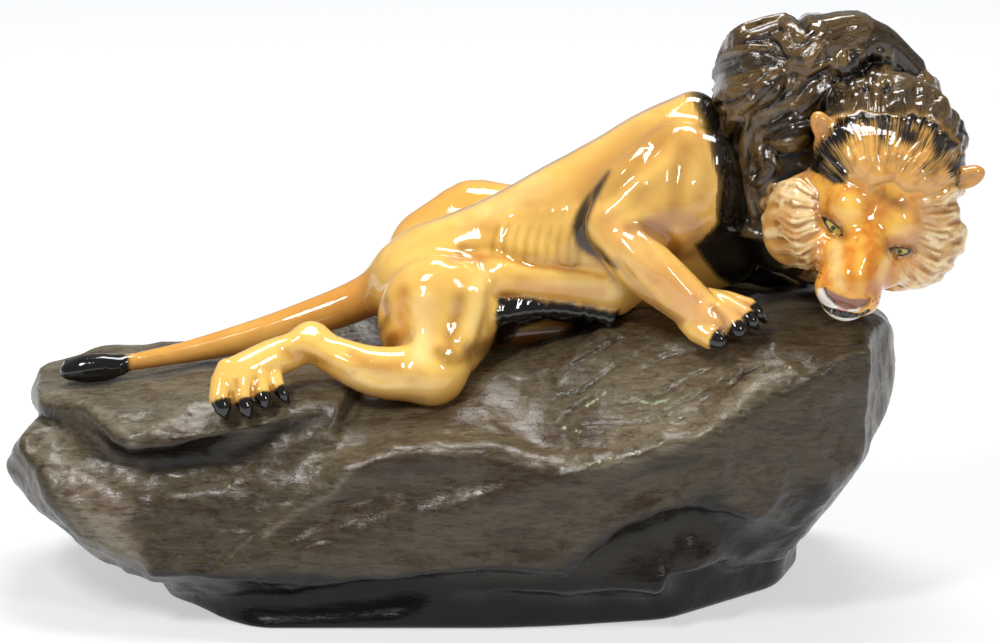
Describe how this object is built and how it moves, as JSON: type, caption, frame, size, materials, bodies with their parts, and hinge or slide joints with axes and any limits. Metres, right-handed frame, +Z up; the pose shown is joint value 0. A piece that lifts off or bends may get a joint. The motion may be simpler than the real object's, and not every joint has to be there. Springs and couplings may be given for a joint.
{
  "type": "lion figurine",
  "caption": "Glazed ceramic figurine of a maned lion lying along a sloping rock, its head turned to the side and bowed over the rock's high end.",
  "frame": {"origin": "middle of the rock's flat underside", "axes": "+X along the rock from the lion's tail to its head, -Y out of the side that the lion's face is turned to, +Z up"},
  "size_m": [0.4198, 0.1742, 0.2556],
  "materials": {
    "glazed_porcelain": "clear gloss glaze over painted colours: amber lion, dark brown mane, olive grey rock"
  },
  "bodies": {
    "root": {"lion_on_rock": "glazed_porcelain"}
  },
  "joints": []
}
